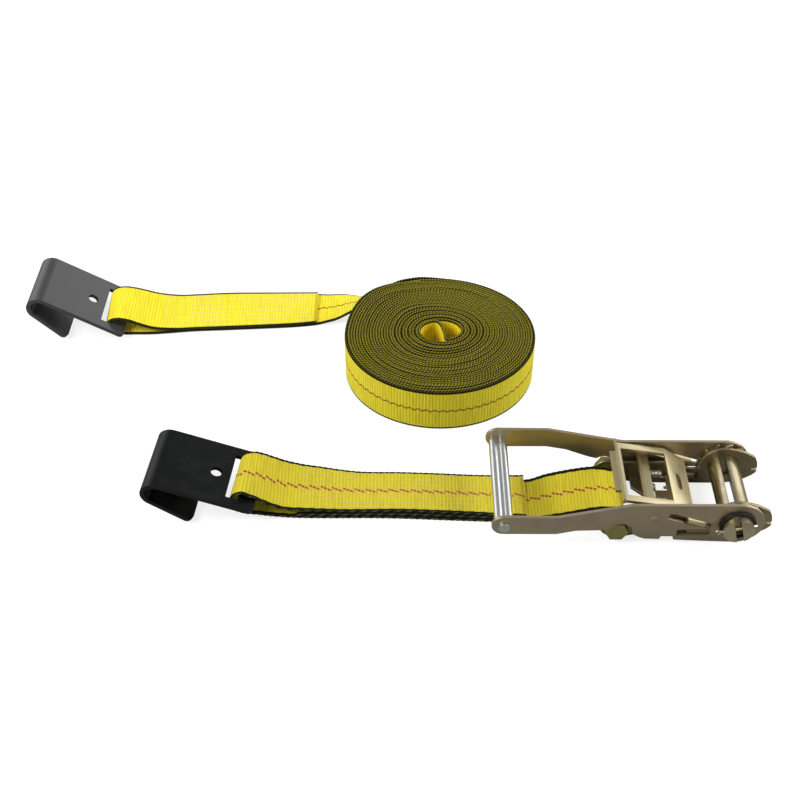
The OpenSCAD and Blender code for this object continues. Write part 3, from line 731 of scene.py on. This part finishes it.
class Sewing:
    """Points and faces of many short threads that make up one piece."""

    def __init__(self):
        self.verts, self.faces = [], []

    def stitch(self, start, end, up, radius, sides=6):
        """Add a thread that dips at both ends, bowed along up."""
        axis = end - start
        across = np.cross(axis, up)
        across /= np.linalg.norm(across)
        base = len(self.verts)
        for t, r, bow in STITCH_SHAPE:
            centre = start + axis * t + up * bow * radius
            for k in range(sides):
                a = 2 * math.pi * k / sides
                self.verts.append(centre + radius * r * (across * math.cos(a) + up * math.sin(a)))
        last = len(STITCH_SHAPE) - 1
        for i in range(last):
            for k in range(sides):
                n = (k + 1) % sides
                quad = (i * sides + k, i * sides + n, (i + 1) * sides + n, (i + 1) * sides + k)
                self.faces.append(tuple(base + q for q in quad))
        self.faces.append(tuple(base + k for k in reversed(range(sides))))
        self.faces.append(tuple(base + last * sides + k for k in range(sides)))

    def piece(self, name, material, body):
        return new_object(name, self.verts, self.faces, material, "yellow_web", body)


def stitches(name, path, first, last, material, body, side=1):
    """Rows of thread on a web's outer face between two lengths along it."""
    centre, across, along = path
    across = across / np.linalg.norm(across, axis=1)[:, None]
    up = np.cross(across, np.gradient(centre, axis=0))
    up /= np.linalg.norm(up, axis=1)[:, None]
    sewing = Sewing()
    for row in STITCH_ROWS:
        for k in range(int((last - first) / RIB)):
            ends = []
            for share in (0.12, 0.80):
                i = int(np.argmin(np.abs(along - (first + (k + share) * RIB))))
                sway = rng.uniform(-0.12, 0.12)
                ends.append(centre[i] + across[i] * (row + sway) + side * up[i] * (WEB_T / 2 + THREAD_LIFT))
            sewing.stitch(ends[0], ends[1], side * up[i], STITCH_R)
    return sewing.piece(name, material, body)


def end_bar(name, path, at, body, side=1):
    """A closely sewn zigzag across a web."""
    reach, pitch, lean = HALF - 2.2, 2.2, 0.55
    centre, across, along = path
    i = int(np.argmin(np.abs(along - at)))
    a = across[i] / np.linalg.norm(across[i])
    t = centre[i] - centre[i - 1]
    t /= np.linalg.norm(t)
    up = side * np.cross(a, t)
    sewing = Sewing()
    for k in range(int(2 * reach / pitch)):
        slant = lean if k % 2 else -lean
        start = centre[i] + a * (-reach + k * pitch) - t * slant + up * (WEB_T / 2 + THREAD_LIFT)
        end = centre[i] + a * (-reach + (k + 0.9) * pitch) + t * slant + up * (WEB_T / 2 + THREAD_LIFT)
        sewing.stitch(start, end, up, BAR_STITCH_R)
    return sewing.piece(name, RUST_THREAD, body)


PALE_THREAD = thread("sewing_thread_pale", (0.82, 0.70, 0.26))
PINK_THREAD = thread("sewing_thread_pink", (1.0, 0.84, 0.66))
RUST_THREAD = thread("sewing_thread_rust", (0.50, 0.16, 0.03))
long_end = LONG_PATH[2][-1]
stitches("short_sewing_rows", SHORT_PATH, 6.0, SHORT_TOP, PALE_THREAD, "short_strap")
stitches("long_sewing_rows", LONG_PATH, long_end - 170, long_end - 4, PINK_THREAD, "long_strap", side=-1)
end_bar("long_end_sewing", LONG_PATH, long_end - 1.6, "long_strap", side=-1)
end_bar("short_end_sewing", SHORT_PATH, 1.6, "short_strap")

# ---------------------------------------------------------------- springs


def coil_spring(name, node, coils, body):
    """Real coils along x in place of a node's two sleeves."""
    lo, hi = box_mm(node)
    wire = 0.55
    radius = (hi[2] - lo[2]) / 2 - wire
    mid_z = (hi[2] + lo[2]) / 2
    sides = 8
    verts, faces = [], []
    for sign in (-1, 1):
        mid_y = sign * (hi[1] - (hi[2] - lo[2]) / 2)
        count = coils * 24
        base = len(verts)
        for i in range(count + 1):
            a = 2 * math.pi * coils * i / count
            x = lo[0] + wire + (hi[0] - lo[0] - 2 * wire) * i / count
            outward = np.array([0.0, math.cos(a), math.sin(a)])
            spot = np.array([x, mid_y, mid_z]) + radius * outward
            for k in range(sides):
                b = 2 * math.pi * k / sides
                verts.append(spot + wire * (outward * math.cos(b) + np.array([math.sin(b), 0.0, 0.0])))
        for i in range(count):
            for k in range(sides):
                n = (k + 1) % sides
                a0, a1 = base + i * sides, base + (i + 1) * sides
                faces.append((a0 + k, a1 + k, a1 + n, a0 + n))
        faces.append(tuple(base + k for k in range(sides)))
        faces.append(tuple(base + count * sides + k for k in range(sides))[::-1])
    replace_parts(new_object(name, verts, faces, FINISHES["spring_steel"], "spring_steel", body), node)


coil_spring("lock_pawl_coil_springs", "lock_pawl_springs", 6, "ratchet_frame")
coil_spring("drive_pawl_coil_springs", "drive_pawl_springs", 8, "handle")

# ---------------------------------------------------------------- CAD metal parts

# Width in millimetres of the eased edges of each node.
EASED = {
    "short_hook": 0.7, "long_hook": 0.7,
    "anchor_bolt": 0.5, "anchor_nut": 0.5, "anchor_washers": 0.2,
    "frame_plate_near": 0.4, "frame_plate_far": 0.4, "frame_spring_plate": 0.3, "lock_pawl": 0.3,
    "handle_plate_near": 0.4, "handle_plate_far": 0.4, "handle_spring_plate": 0.3, "drive_pawl": 0.35,
    "handle_grip": 0.3, "grip_rivets": 0.5,
    "ratchet_wheel_near": 0.25, "ratchet_wheel_far": 0.25, "spindle_washers": 0.25,
    "spindle_half_front": 0.5, "spindle_half_rear": 0.5,
}
SLOT_OF = {part["node"]: part["material_slot"] for part in frame["record"]["subparts"]}
SOFT_NODES = {"short_webbing", "long_webbing_roll", "long_webbing_tail", "lock_pawl_springs",
              "drive_pawl_springs"}

for node, obj in frame["nodes"].items():
    if node in SOFT_NODES:
        continue
    obj.data.materials.clear()
    obj.data.materials.append(FINISHES["rivet_steel" if node == "grip_rivets" else SLOT_OF[node]])
    obj.data.polygons.foreach_set("use_smooth", [True] * len(obj.data.polygons))
    weld = obj.modifiers.new("weld", "WELD")
    weld.merge_threshold = 0.01 * MM
    flat = obj.modifiers.new("flat_faces", "DECIMATE")
    flat.decimate_type = "DISSOLVE"
    flat.angle_limit = math.radians(0.6)
    if node in EASED:
        bevel = obj.modifiers.new("eased_edges", "BEVEL")
        bevel.width = EASED[node] * MM
        bevel.segments = 2
        bevel.limit_method = "ANGLE"
        bevel.angle_limit = math.radians(32)
        bevel.harden_normals = True
        bevel.use_clamp_overlap = True
    normals = obj.modifiers.new("face_normals", "WEIGHTED_NORMAL")
    normals.keep_sharp = True

# ---------------------------------------------------------------- stage, light and camera

LOOK_AT = Vector((-0.310, 0.149, FLOOR * MM))
CAMERA_DISTANCE = 1.324
CAMERA_RISE = math.radians(43.9)
# Half the frame's width over the focal length.
HALF_FRAME = 400 / 1272.8

floor_mesh = bpy.data.meshes.new("floor")
floor_mesh.from_pydata([(-30, -30, 0), (30, -30, 0), (30, 30, 0), (-30, 30, 0)], [], [(0, 1, 2, 3)])
floor = bpy.data.objects.new("floor", floor_mesh)
floor.location = (0, 0, FLOOR * MM - 0.0002)
bpy.context.scene.collection.objects.link(floor)
floor_mesh.materials.append(white_floor("floor_card"))


def area_light(name, at, size, power):
    """A soft square light that faces the object."""
    data = bpy.data.lights.new(name, "AREA")
    data.size, data.energy = size, power
    light = bpy.data.objects.new(name, data)
    light.location = at
    light.rotation_euler = (LOOK_AT - Vector(at)).to_track_quat("-Z", "Y").to_euler()
    bpy.context.scene.collection.objects.link(light)


area_light("left_key", (-2.3, -0.5, 1.9), 1.5, 76)
area_light("right_fill", (2.2, 0.1, 1.7), 1.4, 66)

world = bpy.data.worlds.new("studio")
bpy.context.scene.world = world
studio = Graph(world)
split = studio.node("ShaderNodeSeparateXYZ")
studio.link(studio.node("ShaderNodeTexCoord").outputs["Generated"], split.inputs[0])
east, north, height = split.outputs
low = studio.math("MULTIPLY", studio.ramp(height, 0.62, 0.50), studio.ramp(north, 0.15, 0.45))
right_box = studio.math("MULTIPLY", low, studio.ramp(east, 0.12, 0.30))
left_box = studio.math("MULTIPLY", low, studio.ramp(east, -0.22, -0.40))
glow = studio.math("ADD", studio.math("MULTIPLY", right_box, 1.25), studio.math("MULTIPLY", left_box, 0.9))
strength = studio.math("ADD", glow, 0.30)
studio.link(strength, studio.tree.nodes["Background"].inputs["Strength"])
studio.link((1, 1, 1), studio.tree.nodes["Background"].inputs["Color"])
bpy.context.scene.view_settings.view_transform = "Standard"

camera_data = bpy.data.cameras.new("camera")
camera_data.sensor_width = 36
camera_data.lens = camera_data.sensor_width / 2 / HALF_FRAME
camera_data.clip_start, camera_data.clip_end = 0.05, 60
camera = bpy.data.objects.new("camera", camera_data)
camera.location = LOOK_AT + CAMERA_DISTANCE * Vector((0, -math.cos(CAMERA_RISE), math.sin(CAMERA_RISE)))
camera.rotation_euler = (math.pi / 2 - CAMERA_RISE, 0, 0)
bpy.context.scene.collection.objects.link(camera)
bpy.context.scene.camera = camera
